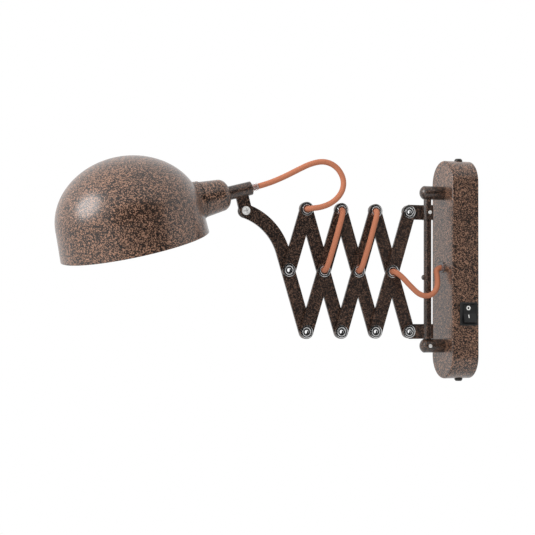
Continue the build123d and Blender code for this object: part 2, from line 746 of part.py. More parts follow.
def wall_loop():
    """From the box's grip, down in front of the rod and up to the first middle rivet."""
    start_x = BOX_DEPTH + WALL_LOOP_OUT
    goal_x, goal_z = mid(0)
    shares = [
        (-0.005, 0.33, 0.333),
        (0.055, 0.745, 0.73),
        (0.233, 0.98, 1.0),
        (0.475, 1.0, 0.984),
        (0.703, 0.909, 0.61),
        (0.861, 0.764, 0.293),
    ]
    course = [
        (start_x + (goal_x - start_x) * along, WALL_LOOP_ASIDE * aside, -WALL_LOOP_DROP * down)
        for along, aside, down in shares
    ]
    ends = [(goal_x, CORD_LIFT, goal_z), (goal_x, 0.0, goal_z)]
    return [GRIP_EXIT, (start_x, 0.0, CASE_GRIP_UP)] + course + ends


def head_loop():
    """From the first rivet of the short link, up and over to the head's grip."""
    start_x, start_z = top(CELLS)
    shares = [
        (-0.351, 0.976, 0.031),
        (-0.698, 1.0, 0.152),
        (-0.951, 0.94, 0.371),
        (-1.0, 0.845, 0.632),
        (-0.812, 0.762, 0.883),
        (-0.473, 0.667, 1.0),
        (-0.085, 0.548, 0.941),
        (0.302, 0.405, 0.789),
        (0.691, 0.214, 0.63),
    ]
    course = [
        (start_x + HEAD_LOOP_BACK * out, HEAD_LOOP_ASIDE * aside, start_z + HEAD_LOOP_RISE * up)
        for out, aside, up in shares
    ]
    rivet = [(start_x, 0.0, start_z), (start_x, CORD_LIFT, start_z)]
    return rivet + course + [head_point(-HEAD_TAIL - 6.5), head_point(-CORD_MEETS)]


def case_tail():
    """Cord inside the box, from the grip to the terminal block."""
    block_face = BRACKET_PLATE + BLOCK_DEEP
    return slab_x(
        Pos(0, CASE_GRIP_UP) * RegularPolygon(CORD_D / 2, CORD_SIDES), block_face, GRIP_EXIT[0]
    )


def head_tail():
    """Cord inside the nipple, from the grip to the lamp holder."""
    return SHADE_PLACE * slab_x(
        RegularPolygon(CORD_D / 2, CORD_SIDES), -CORD_MEETS, HOLDER_BACK + NIPPLE_IN_HOLDER
    )


def case_grip():
    """Clear bush through the box's front, flanged outside."""
    bore = CORD_D / 2 + FIT_GAP
    front = BOX_DEPTH + CASE_GRIP_OUT
    outline = Circle(GRIP_D / 2) - Circle(bore)
    body = slab_x(outline, BOX_DEPTH - CASE_GRIP_IN, front)
    flange = Circle(CASE_GRIP_FLANGE_D / 2) - Circle(bore)
    body += slab_x(flange, BOX_DEPTH, BOX_DEPTH + CASE_GRIP_FLANGE)
    return Pos(0, 0, CASE_GRIP_UP) * body


def case_grip_nut():
    outline = hexagon(CASE_GRIP_FLANGE_D) - Circle(GRIP_D / 2 + FIT_GAP / 3)
    back = BOX_DEPTH - BOX_WALL
    return Pos(0, 0, CASE_GRIP_UP) * slab_x(outline, back - 2.4, back)


def head_grip():
    """Clear sleeve round the cord where it enters the nipple."""
    bore = CORD_D / 2 + FIT_GAP
    ring = Circle(GRIP_D / 2) - Circle(bore)
    return SHADE_PLACE * slab_x(ring, -HEAD_TAIL, -SLEEVE_BACK + HEAD_GRIP_IN)


# ---- switch ----
def switch_place():
    """X along the wall box's depth, Y out of its side wall, Z up."""
    return Pos(SWITCH_OUT, BOX_WIDTH / 2, -SWITCH_DOWN)


def switch_housing():
    """Bezel and body in one moulding, with a window for the rocker."""
    bezel = slab_y(RectangleRounded(BEZEL_WIDE, BEZEL_HIGH, BEZEL_ROUND), 0, BEZEL_THICK)
    bezel = chamfer(bezel.edges().group_by(Axis.Y)[-1], 0.5)
    body = slab_y(Rectangle(SWITCH_BODY_WIDE, SWITCH_BODY_HIGH), -SWITCH_BODY_DEEP, 0)
    housing = bezel + body
    wide = ROCKER_WIDE / 2 + ROCKER_GAP
    high = ROCKER_HIGH / 2 + ROCKER_GAP
    housing -= block(-wide, wide, -high, BEZEL_THICK + 1, -high, high)
    return switch_place() * housing


def rocker():
    """Rocker with two flat faces, its lower half standing out: it swings about X."""
    radius = ROCKER_HIGH / 2
    slope = radians(ROCKER_SWING / 2)
    middle = (0, BEZEL_THICK + ROCKER_SINK)
    far = 2 * radius
    high = middle[1] + far * sin(slope)
    above = make_face(Polyline(middle, (far, high), (far, 2 * far), (-far, 2 * far), (-far, high), close=True))
    below = Pos(0, -radius) * Rectangle(2 * far, radius)
    side = Plane(origin=(-ROCKER_WIDE / 2, 0, 0), x_dir=(0, 0, -1), z_dir=(1, 0, 0))
    body = extrude(side * (Circle(radius) - above - below), amount=ROCKER_WIDE)
    return switch_place() * Rot(ROCKER_SWING / 2, 0, 0) * body


def switch_terminals():
    blades = []
    inner = -SWITCH_BODY_DEEP
    for side in (1, -1):
        blade = block(
            -TERMINAL_WIDE / 2,
            TERMINAL_WIDE / 2,
            inner - TERMINAL_LONG,
            inner,
            side * TERMINAL_STEP / 2 - TERMINAL_THICK / 2,
            side * TERMINAL_STEP / 2 + TERMINAL_THICK / 2,
        )
        blades.append(switch_place() * blade)
    return blades


def terminal_block():
    z_low = CASE_GRIP_UP - BLOCK_HIGH / 2
    body = block(
        BRACKET_PLATE,
        BRACKET_PLATE + BLOCK_DEEP,
        -BLOCK_WIDE / 2,
        BLOCK_WIDE / 2,
        z_low,
        z_low + BLOCK_HIGH,
    )
    for side in (1, -1):
        for row in (1, -1):
            centre = Pos(side * BLOCK_WIDE / 4, CASE_GRIP_UP + row * BLOCK_HIGH * 0.33) * Circle(1.6)
            body -= slab_x(centre, BRACKET_PLATE + BLOCK_DEEP - 4, BRACKET_PLATE + BLOCK_DEEP + 1)
    return body


def inner_leads():
    """Two insulated wires from the switch's blades up to the terminal block."""
    leads = []
    x = BRACKET_PLATE + BLOCK_DEEP / 2
    y_blade = BOX_WIDTH / 2 - SWITCH_BODY_DEEP - TERMINAL_LONG - LEAD_D / 2
    z_block = CASE_GRIP_UP - BLOCK_HIGH / 2
    for side in (1, -1):
        z_blade = -SWITCH_DOWN + side * TERMINAL_STEP / 2
        y_block = side * BLOCK_WIDE / 4
        y_side = y_blade - LEAD_ASIDE * (1 - side) / 2 - LEAD_OUT
        points = [
            (SWITCH_OUT, y_blade + LEAD_D / 2, z_blade),
            (SWITCH_OUT, y_side, z_blade),
            (SWITCH_OUT - LEAD_D, y_side, z_blade + LEAD_RISE),
            (x, y_block, z_block - LEAD_END),
            (x, y_block, z_block),
        ]
        leads.append(cord("lead", points, LEAD_D))
    return leads


# ---- all nodes ----
def lower_post_grub():
    return grub((ROD_X, -POST_SPACING / 2), POST_D / 2, ROD_D / 2 + ROD_PLAY)


def lower_post():
    depth = POST_D
    return post(-1) - grub_hole(GRUB_D + 2 * FIT_GAP / 3, (ROD_X, -POST_SPACING / 2), depth)


def build():
    wall_inner, wall_outer = split(wall_loop(), 4)
    head_inner, head_outer = split(head_loop(), 7)
    nodes = {
        "wall_box": wall_box(),
        "wall_bracket": wall_bracket(),
        "box_screws": box_screws(),
        "post_upper": post(1),
        "post_lower": lower_post(),
        "post_nuts": post_nuts(),
        "post_set_screw": lower_post_grub(),
        "box_cord_grip": case_grip(),
        "box_grip_nut": case_grip_nut(),
        "terminal_block": terminal_block(),
        "inner_leads": inner_leads(),
        "box_cord_tail": case_tail(),
        "switch_housing": switch_housing(),
        "switch_terminals": switch_terminals(),
        "switch_rocker": rocker(),
        "pivot_rod": pivot_rod(),
        "stop_pin": stop_pin(),
        "upper_collar": collar(top(0), BACK_LOW, BACK_HIGH, ROD_PLAY, True),
        "collar_set_screw": grub((ROD_X, TOP_Z), COLLAR_D / 2, ROD_D / 2),
        "lower_collar": collar(low(0), FRONT_LOW, FRONT_HIGH, COLLAR_SLIDE_PLAY, False),
        "lower_collar_eyelet": eyelet(low(0)),
        "curved_arm": curved_arm(),
        "short_link": bar(top(CELLS), mid(CELLS), (top(CELLS), mid(CELLS)), FRONT_LOW, FRONT_HIGH),
        "short_link_eyelets": [eyelet(top(CELLS)), eyelet(mid(CELLS))],
        "head_yoke": head_yoke(),
        "tilt_screw": tilt_screw(),
        "tilt_washer": tilt_washer(),
        "tilt_nut": tilt_nut(),
        "lamp_cup": lamp_cup(),
        "nipple": nipple(),
        "nipple_nut": nipple_nut(),
        "lampholder": lampholder(),
        "socket_shell": socket_shell(),
        "centre_contact": centre_contact(),
        "shade_ring": shade_ring(),
        "shade": shade(),
        "head_cord_grip": head_grip(),
        "head_cord_tail": head_tail(),
        "cord_wall_loop_inner": cord("wall loop inner", wall_inner, tight=(0,)),
        "cord_wall_loop_outer": cord("wall loop outer", wall_outer, tight=(-1,)),
        "cord_head_loop_inner": cord("head loop inner", head_inner, tight=(0,)),
        "cord_head_loop_outer": cord("head loop outer", head_outer),
    }
    for column in range(CELLS):
        count = column + 1
        front = (top(column), mid(column), low(column + 1))
        back = (low(column), mid(column), top(column + 1))
        nodes[f"front_bar_{count}"] = bar(front[0], front[2], front, FRONT_LOW, FRONT_HIGH)
        nodes[f"back_bar_{count}"] = bar(back[0], back[2], back, BACK_LOW, BACK_HIGH)
        nodes[f"eyelets_{count}"] = [eyelet(point) for point in front]
        nodes[f"cord_back_{count}"] = stretch(f"back {count}", back[1], back[2], -1)
        if column > 0:
            nodes[f"cord_front_{count}"] = stretch(f"front {count}", front[0], front[1], 1)
    return nodes


def main():
    os.makedirs("parts", exist_ok=True)
    for name, solid in build().items():
        pieces = solid if isinstance(solid, list) else [solid]
        export_step(Compound(children=pieces) if len(pieces) > 1 else pieces[0], f"parts/{name}.step")


main()
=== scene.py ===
"""Finishes, cord, rivets, switch marks and studio for a scissor-arm wall lamp."""

import json
import math

import bmesh
import bpy
from bpy.props import FloatProperty, FloatVectorProperty, IntProperty, PointerProperty
from mathutils import Matrix, Vector


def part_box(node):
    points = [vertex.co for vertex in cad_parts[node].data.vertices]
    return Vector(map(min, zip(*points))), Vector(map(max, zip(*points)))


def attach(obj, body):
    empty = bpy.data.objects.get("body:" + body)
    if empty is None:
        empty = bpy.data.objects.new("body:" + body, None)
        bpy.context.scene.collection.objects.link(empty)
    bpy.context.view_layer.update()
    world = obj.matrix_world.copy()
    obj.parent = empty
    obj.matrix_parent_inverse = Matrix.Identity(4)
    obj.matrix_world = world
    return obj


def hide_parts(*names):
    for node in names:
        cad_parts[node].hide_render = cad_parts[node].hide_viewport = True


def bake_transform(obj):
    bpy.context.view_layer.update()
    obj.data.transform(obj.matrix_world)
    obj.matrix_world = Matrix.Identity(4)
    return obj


bl_info = {
    "name": "Scissor Wall Lamp",
    "version": (1, 0, 0),
    "blender": (4, 5, 0),
    "location": "View3D > Sidebar > Lamp",
    "description": "Dresses a scissor-arm wall lamp: paint, textile cord, rivets and studio",
    "category": "Object",
}

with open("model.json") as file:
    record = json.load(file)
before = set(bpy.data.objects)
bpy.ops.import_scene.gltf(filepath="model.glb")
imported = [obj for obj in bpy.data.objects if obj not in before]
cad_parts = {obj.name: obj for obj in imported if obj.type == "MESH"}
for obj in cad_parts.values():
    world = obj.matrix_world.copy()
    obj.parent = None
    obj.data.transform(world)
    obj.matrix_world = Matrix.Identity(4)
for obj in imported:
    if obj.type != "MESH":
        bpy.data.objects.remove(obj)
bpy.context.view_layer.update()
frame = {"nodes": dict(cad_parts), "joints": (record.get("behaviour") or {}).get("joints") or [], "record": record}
NODES = frame["nodes"]
JOINTS = {joint["name"]: joint for joint in frame["joints"]}
MM = 0.001
CORD_LIFT = 6.6  # mm from the arm's middle plane to the cord, at a rivet

# The camera fitted to the photograph.
PHOTO_TARGET = (0.195686, 0.0, -0.000361)
PHOTO_DISTANCE = 1.1
PHOTO_ANGLES = (18.894, -1.594, 0.207)  # azimuth, elevation and roll, in degrees
PHOTO_LENS = 1256.93 / 535.0  # focal length over the picture's width
SENSOR = 36.0  # mm


# ---- settings ----
def colour(name, text, default):
    return FloatVectorProperty(
        name=name, description=text, subtype="COLOR", size=3, min=0.0, max=1.0, default=default
    )


def length(name, text, default):
    return FloatProperty(
        name=name, description=text, subtype="DISTANCE", unit="LENGTH", default=default, precision=5
    )


def factor(name, text, default):
    return FloatProperty(
        name=name, description=text, subtype="FACTOR", min=0.0, max=1.0, default=default
    )


def count(name, text, low, default):
    return IntProperty(name=name, description=text, min=low, max=48, default=default)


def power(name, text, default):
    return FloatProperty(name=name, description=text, subtype="POWER", default=default)


def level(name, text, default):
    return FloatProperty(name=name, description=text, default=default)


class LampPaint(bpy.types.PropertyGroup):
    """The speckled lacquer of the shade, the wall box and the arm."""

    ground: colour("Ground", "Darkest colour of the lacquer", (0.008, 0.0045, 0.0035))
    body: colour("Body", "Middle brown of the lacquer", (0.038, 0.020, 0.0125))
    fleck: colour("Fleck", "Light copper flecks", (0.43, 0.232, 0.148))
    arm: colour("Arm", "Middle brown of the arm's bars", (0.034, 0.020, 0.015))
    grain: length("Grain", "Width of one fleck", 0.00065)
    shade_share: factor("Shade flecks", "Share of the shade that is flecked", 0.25)
    arm_share: factor("Arm flecks", "Share of the arm that is flecked", 0.20)
    gloss: factor("Roughness", "Roughness of the lacquer", 0.36)


class LampCord(bpy.types.PropertyGroup):
    """The textile cord."""

    width: length("Diameter", "Outer diameter of the cord", 0.005)
    yarn: colour("Yarn", "Colour of the woven cover", (0.23, 0.034, 0.010))
    # Painted shade: the darker colour laid in the gaps between the strands.
    shade: colour("Gap shade", "Painted shade in the gaps between the strands", (0.075, 0.012, 0.005))
    pitch: length("Braid pitch", "Length of one repeat of the braid", 0.0024)
    strands: count("Strands", "Strands round the cord", 4, 12)
    sides: count("Sides", "Faces round the tube", 8, 20)


class LampRivets(bpy.types.PropertyGroup):
    """The hollow rivets of the scissor arm."""

    hole: length("Hole", "Radius of the hole through the rivet", 0.0033)
    flange: length("Flange", "Outer radius of the flange", 0.0057)
    plate: length("Flange thickness", "Thickness of the flat flange", 0.00042)
    curl: length("Curl", "Radius of the rolled lip round the hole", 0.00040)
    metal: colour("Metal", "Nickel plating", (0.80, 0.79, 0.77))


class LampStudio(bpy.types.PropertyGroup):
    """Background, lights and floor."""

    white: level("Background", "Strength of the white background", 1.0)
    ambient: level("Ambient", "Light from all round", 0.62)
    key: power("Key", "Key light", 8.0)
    top: power("Top", "Overhead light", 3.2)
    side: power("Side", "Light from the shade's side", 11.5)
    floor: colour("Floor", "Floor under the lamp", (0.82, 0.82, 0.82))


# ---- shader maths ----
class Socket:
    """An output socket whose operators add Math nodes."""

    def __init__(self, tree, socket):
        self.tree = tree
        self.socket = socket

    def maths(self, operation, *others):
        return self.tree.node("ShaderNodeMath", [self, *others], operation=operation)[0]

    def __add__(self, other):
        return self.maths("ADD", other)

    __radd__ = __add__

    def __mul__(self, other):
        return self.maths("MULTIPLY", other)

    __rmul__ = __mul__

    def __sub__(self, other):
        return self.maths("SUBTRACT", other)

    def __rsub__(self, other):
        return self.tree.node("ShaderNodeMath", [other, self], operation="SUBTRACT")[0]

    def sine(self):
        return self.maths("SINE")

    def between(self, low, high):
        """0 below low, 1 above high, smooth in between."""
        inputs = {"Value": self, "From Min": low, "From Max": high}
        return self.tree.node("ShaderNodeMapRange", inputs, interpolation_type="SMOOTHSTEP")[0]


class Finish:
    """A material with a Principled shader, and the means to add nodes to it."""

    def __init__(self, name):
        self.material = bpy.data.materials.new(name)
        self.material.use_nodes = True
        self.nodes = self.material.node_tree.nodes
        self.links = self.material.node_tree.links
        self.shader = self.nodes["Principled BSDF"]

    def node(self, kind, inputs=(), **settings):
        """A new node's outputs, from its settings and its inputs' values or links."""
        made = self.nodes.new(kind)
        for key, value in settings.items():
            setattr(made, key, value)
        pairs = inputs.items() if isinstance(inputs, dict) else enumerate(inputs)
        for key, value in pairs:
            self.put(made.inputs[key], value)
        return [Socket(self, out) for out in made.outputs if out.enabled]

    def put(self, target, value):
        if isinstance(value, Socket):
            self.links.new(value.socket, target)
        elif target.type == "RGBA" and len(value) == 3:
            target.default_value = (*value, 1.0)
        else:
            target.default_value = value

    def mix(self, share, first, second):
        """A colour between two others."""
        made = self.nodes.new("ShaderNodeMix")
        made.data_type = "RGBA"
        for index, value in ((0, share), (6, first), (7, second)):
            self.put(made.inputs[index], value)
        return Socket(self, made.outputs[2])

    def place(self):
        """Object coordinates."""
        made = self.nodes.new("ShaderNodeTexCoord")
        return Socket(self, made.outputs["Object"])

    def noise(self, scale, detail=2.0, rough=0.5):
        inputs = {"Vector": self.place(), "Scale": scale, "Detail": detail, "Roughness": rough}
        return self.node("ShaderNodeTexNoise", inputs)[0]

    def cells(self, scale):
        """A random number for each cell of a Voronoi pattern, and the distance to its middle."""
        inputs = {"Vector": self.place(), "Scale": scale}
        distance, tint, _ = self.node("ShaderNodeTexVoronoi", inputs)[:3]
        red = self.node("ShaderNodeSeparateColor", [tint])[0]
        return red, distance

    def bump(self, height, strength, distance):
        inputs = {"Height": height, "Strength": strength, "Distance": distance}
        self.put(self.shader.inputs["Normal"], self.node("ShaderNodeBump", inputs)[0])

    def surface(self, colour, rough):
        self.put(self.shader.inputs["Base Color"], colour)
        self.put(self.shader.inputs["Roughness"], rough)

    def set(self, **values):
        """Put constants on the shader, and return the material."""
        for key, value in values.items():
            self.put(self.shader.inputs[key.replace("_", " ")], value)
        return self.material


# ---- finishes ----
def speckled_lacquer(name, body, share, paint, glint):
    """Two sizes of copper fleck on a dark ground, under a clear coat."""
    finish = Finish(name)
    scale = 1.0 / paint.grain
    fine, edge = finish.cells(scale)
    coarse, _ = finish.cells(scale * 0.58)
    cloud = finish.noise(30.0, 3.0)
    drift = (cloud - 0.5) * 0.22
    fine_strength, coarse_strength = 0.72, 0.5
    light = (fine + drift).between(0.92 - share, 1.10 - share)
    patch = (coarse + drift).between(0.96 - share * 0.7, 1.16 - share * 0.7)
    dark = (fine * -1.0 + coarse * -0.4 + 1.4).between(0.30, 1.05)
    fleck = tuple(channel * glint for channel in paint.fleck)
    ground = finish.mix(dark, tuple(body), tuple(paint.ground))
    flecked = finish.mix(light * fine_strength, ground, fleck)
    finish.surface(
        finish.mix(patch * coarse_strength, flecked, fleck),
        paint.gloss + (fine - 0.5) * 0.12 + (cloud - 0.5) * 0.08,
    )
    finish.bump(edge * -1.0 + fine * 0.4, 0.16, 0.0001)
    return finish.set(Coat_Weight=0.4, Coat_Roughness=0.22)


def plated(name, tone, rough, metallic=1.0):
    """Metal with faint wear and smudges."""
    finish = Finish(name)
    wear = finish.noise(420.0, 4.0, 0.6)
    smudge = finish.noise(60.0, 2.0)
    worn = tuple(channel * 0.72 for channel in tone)
    finish.surface(
        finish.mix(wear.between(0.35, 0.75), tuple(tone), worn), rough + (smudge - 0.4) * 0.18
    )
    finish.bump(wear, 0.05, 0.00008)
    return finish.set(Metallic=metallic)


def moulded(name, tone, rough, grain=1400.0, strength=0.12):
    """Moulded plastic with a fine spark-eroded texture."""
    finish = Finish(name)
    texture = finish.noise(grain, 2.0)
    cloud = finish.noise(90.0, 2.0)
    pale = tuple(min(1.0, channel * 1.5 + 0.004) for channel in tone)
    finish.surface(
        finish.mix(cloud.between(0.35, 0.8) * 0.5, tuple(tone), pale),
        rough + (texture - 0.5) * 0.16,
    )
    finish.bump(texture, strength, 0.00006)
    return finish.material


def clear_plastic():
    """Clear plastic with a faint haze, through which the cord shows."""
    finish = Finish("clear_plastic")
    haze = finish.noise(90.0, 2.0)
    finish.surface(finish.mix(haze, (0.90, 0.86, 0.85), (0.97, 0.96, 0.96)), 0.06 + haze * 0.08)
    return finish.set(IOR=1.45, Transmission_Weight=0.9)


def braided(cord):
    """Two sets of diagonal strands that cross on the tube's own map, which runs in metres."""
    finish = Finish("cord_textile")
    made = finish.nodes.new("ShaderNodeUVMap")
    made.uv_map = "UVMap"
    along, round_, _ = finish.node("ShaderNodeSeparateXYZ", [Socket(finish, made.outputs[0])])
    turn = round_ * (2.0 * math.pi * cord.strands / 2.0)
    run = along * (2.0 * math.pi / cord.pitch)
    left = (run + turn).sine()
    right = (run - turn).sine()
    weave = left * right
    fuzz = finish.noise(2600.0, 3.0, 0.7)
    fade = finish.noise(120.0, 2.0)
    height = weave * 0.5 + 0.5 + (fuzz - 0.5) * 0.5
    # Painted shade: where the weave lies low, the cord takes the shade colour instead of the yarn.
    unshaded_yarn_mask = (height + (fade - 0.5) * 0.3).between(0.12, 0.72)
    # Painted highlight: a lighter copy of the yarn, scattered over it by fine noise.
    lit = tuple(channel * 1.25 for channel in cord.yarn)
    yarn = finish.mix(fuzz.between(0.4, 0.8), tuple(cord.yarn), lit)
    finish.surface(finish.mix(unshaded_yarn_mask, tuple(cord.shade), yarn), 0.78 + (fuzz - 0.5) * 0.2)
    finish.bump(height, 0.55, 0.00025)
    return finish.set(Specular_IOR_Level=0.15)


def make_finishes(scene):
    """Every finish, by its slot's name, which the CAD's own plain materials have taken already."""
    paint, cord, rivets = scene.lamp_paint, scene.lamp_cord, scene.lamp_rivets
    return {
        "rust_paint": speckled_lacquer("rust_paint", paint.body, paint.shade_share, paint, 1.0),
        "arm_paint": speckled_lacquer("arm_paint", paint.arm, paint.arm_share, paint, 0.42),
        "bright_steel": plated("bright_steel", rivets.metal, 0.30, 0.05),
        # Dark metal, for the box screws and for the rings of painted shade round the rivets' lips.
        "dark_metal_and_painted_shade": plated("dark_metal_and_painted_shade", (0.05, 0.048, 0.045), 0.45, 0.6),
        "raw_steel": plated("raw_steel", (0.55, 0.55, 0.56), 0.38),
        "brass": plated("brass", (0.78, 0.57, 0.25), 0.28),
        "switch_black": moulded("switch_black", (0.007, 0.0072, 0.0075), 0.5),
        "holder_black": moulded("holder_black", (0.02, 0.018, 0.017), 0.26, 600.0, 0.04),
        "block_white": moulded("block_white", (0.78, 0.78, 0.74), 0.45),
        "lead_brown": moulded("lead_brown", (0.10, 0.045, 0.02), 0.40, 900.0, 0.05),
        "clear_plastic": clear_plastic(),
        "cord_textile": braided(cord),
    }


# ---- mesh tools ----
def mesh_object(name, vertices, faces, material, smooth=True):
    mesh = bpy.data.meshes.new(name)
    mesh.from_pydata([tuple(v) for v in vertices], [], faces)
    mesh.validate()
    mesh.materials.append(material)
    if smooth:
        mesh.shade_smooth()
    piece = bpy.data.objects.new(name, mesh)
    bpy.context.scene.collection.objects.link(piece)
    return piece


def centre_line(points, steps=24):
    """Points of the smooth curve that a cord's route controls."""
    curve = bpy.data.curves.new("route", "CURVE")
    curve.dimensions = "3D"
    spline = curve.splines.new("NURBS")
    spline.points.add(len(points) - 1)
    for control, point in zip(spline.points, points):
        control.co = (*[c * MM for c in point], 1.0)
    spline.order_u = 3
    spline.use_endpoint_u = True
    spline.resolution_u = steps
    route = bpy.data.objects.new("route", curve)
    bpy.context.scene.collection.objects.link(route)
    bpy.context.view_layer.update()
    graph = bpy.context.evaluated_depsgraph_get()
    line = bpy.data.meshes.new_from_object(route.evaluated_get(graph))
    found = [v.co.copy() for v in line.vertices]
    bpy.data.objects.remove(route)
    bpy.data.curves.remove(curve)
    bpy.data.meshes.remove(line)
    return found


def tube(name, path, radius, sides, material):
    """A closed round tube along a path, mapped in metres along it and once round it."""
    vertices, rings, lengths = [], [], [0.0]
    tangent = (path[1] - path[0]).normalized()
    side = tangent.orthogonal().normalized()
    for index, point in enumerate(path):
        before = path[max(index - 1, 0)]
        after = path[min(index + 1, len(path) - 1)]
        heading = (after - before).normalized()
        side = (side - heading * side.dot(heading)).normalized()
        up = heading.cross(side)
        if index:
            lengths.append(lengths[-1] + (point - path[index - 1]).length)
        ring = []
        for step in range(sides):
            angle = 2.0 * math.pi * step / sides
            ring.append(len(vertices))
            vertices.append(point + (side * math.cos(angle) + up * math.sin(angle)) * radius)
        rings.append(ring)
    mesh = bmesh.new()
    made = [mesh.verts.new(v) for v in vertices]
    layer = mesh.loops.layers.uv.new("UVMap")
    for index in range(len(rings) - 1):
        for step in range(sides):
            following = (step + 1) % sides
            corners = (
                rings[index][step],
                rings[index][following],
                rings[index + 1][following],
                rings[index + 1][step],
            )
            face = mesh.faces.new([made[c] for c in corners])
            spots = ((index, step), (index, step + 1), (index + 1, step + 1), (index + 1, step))
            for loop, (row, column) in zip(face.loops, spots):
                loop[layer].uv = (lengths[row], column / sides)
    mesh.faces.new([made[c] for c in reversed(rings[0])])
    mesh.faces.new([made[c] for c in rings[-1]])
    for face in mesh.faces:
        face.smooth = len(face.verts) == 4
    data = bpy.data.meshes.new(name)
    mesh.to_mesh(data)
    mesh.free()
    data.materials.append(material)
    piece = bpy.data.objects.new(name, data)
    bpy.context.scene.collection.objects.link(piece)
    return piece


def middle(first, second):
    return tuple((a + b) / 2 for a, b in zip(first, second))


# ---- cord routes, in millimetres ----
def pivot(joint):
    x, _, z = JOINTS[joint]["pos_m"]
    return x / MM, z / MM


def crossing(row, column):
    """A rivet's centre, by its row and its column along the arm."""
    first_x, top_z = pivot("arm_extend")
    middle_x, mid_z = pivot("cross_1")
    heights = {"top": top_z, "mid": mid_z, "low": pivot("slider_pivot")[1]}
    shift = 0.5 if row == "mid" else 0.0
    return first_x + 2 * (middle_x - first_x) * (column + shift), heights[row]


def wall_route():
    """Box grip, down in front of the rod and up to the first middle rivet."""
    x, z = crossing("mid", 0)
    grip_x, grip_z = 24.0, 1.8
    start_x, aside, drop = 32.8, 11.0, 24.6
    shares = [
        (-0.005, 0.33, 0.333),
        (0.055, 0.745, 0.73),
        (0.233, 0.98, 1.0),
        (0.475, 1.0, 0.984),
        (0.703, 0.909, 0.61),
        (0.861, 0.764, 0.293),
    ]
    course = [
        (start_x + (x - start_x) * out, aside * near, -drop * down) for out, near, down in shares
    ]
    grip = [(grip_x, 0.0, grip_z), (start_x, 0.0, grip_z)]
    return grip + course + [(x, CORD_LIFT, z), (x, 0.0, z)]


def head_route():
    """Last top rivet, up and over to the grip in the head's sleeve."""
    x, z = crossing("top", 3)
    back, rise, aside = 33.2, 42.8, 8.4
    shares = [
        (-0.351, 0.976, 0.031),
        (-0.698, 1.0, 0.152),
        (-0.951, 0.94, 0.371),
        (-1.0, 0.845, 0.632),
        (-0.812, 0.762, 0.883),
        (-0.473, 0.667, 1.0),
        (-0.085, 0.548, 0.941),
        (0.302, 0.405, 0.789),
        (0.691, 0.214, 0.63),
    ]
    course = [(x + back * out, aside * near, z + rise * up) for out, near, up in shares]
    centre = Vector(JOINTS["head_turn"]["pos_m"]) / MM
    way = Vector(JOINTS["head_turn"]["axis"])
    outside, inside = 23.0, 8.5
    ends = [tuple(centre - way * outside), tuple(centre - way * inside)]
    return [(x, 0.0, z), (x, CORD_LIFT, z)] + course + ends


def bar_route(start, end, side):
    """Along a bar from one rivet to the next, bowed away from it."""
    shoulder, crest = 7.6, 8.0

    def at(share, lift):
        return (
            start[0] + (end[0] - start[0]) * share,
            side * lift,
            start[1] + (end[1] - start[1]) * share,
        )

    return [
        at(0, 0),
        at(0, CORD_LIFT),
        at(0.26, shoulder),
        at(0.5, crest),
        at(0.74, shoulder),
        at(1, CORD_LIFT),
        at(1, 0),
    ]


def on_body(piece, body, slot, *nodes):
    """Ride a piece on a body, in place of the CAD nodes that it stands for; the slot is not used."""
    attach(piece, body)
    if nodes:
        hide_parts(*nodes)


class LAMP_OT_cord(bpy.types.Operator):
    """Lay the textile cord: two free loops and the stretches along the bars"""

    bl_idname = "lamp.cord"
    bl_label = "Cord"

    def execute(self, context):
        cord = context.scene.lamp_cord
        material = bpy.data.materials["cord_textile"]  # the CAD's plain one
        wall, head = wall_route(), head_route()
        wall_turn, head_turn = 5, 8
        wall_cut = middle(wall[wall_turn - 1], wall[wall_turn])
        head_cut = middle(head[head_turn - 1], head[head_turn])
        loops = (
            ("wall_loop_inner", wall[:wall_turn] + [wall_cut], "wall", "swivel"),
            ("wall_loop_outer", [wall_cut] + wall[wall_turn:], "swivel", "front_bar_1"),
            ("head_loop_inner", head[:head_turn] + [head_cut], "link", "arm"),
            ("head_loop_outer", [head_cut] + head[head_turn:], "arm", "yoke"),
        )
        for name, route, first, second in loops:
            path = centre_line(route)
            piece = tube(name, path, cord.width / 2, cord.sides, material)
            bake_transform(piece)
            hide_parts("cord_" + name)
        stretches = [
            ("back_1", ("mid", 0), ("top", 1)),
            ("front_2", ("top", 1), ("mid", 1)),
            ("back_2", ("mid", 1), ("top", 2)),
            ("front_3", ("top", 2), ("mid", 2)),
            ("back_3", ("mid", 2), ("top", 3)),
        ]
        for name, start, end in stretches:
            bar, column = name.split("_")
            side = 1 if bar == "front" else -1
            path = centre_line(bar_route(crossing(*start), crossing(*end), side))
            piece = tube("stretch_" + name, path, cord.width / 2, cord.sides, material)
            on_body(piece, f"{bar}_bar_{column}", "cord_textile", "cord_" + name)
        return {"FINISHED"}


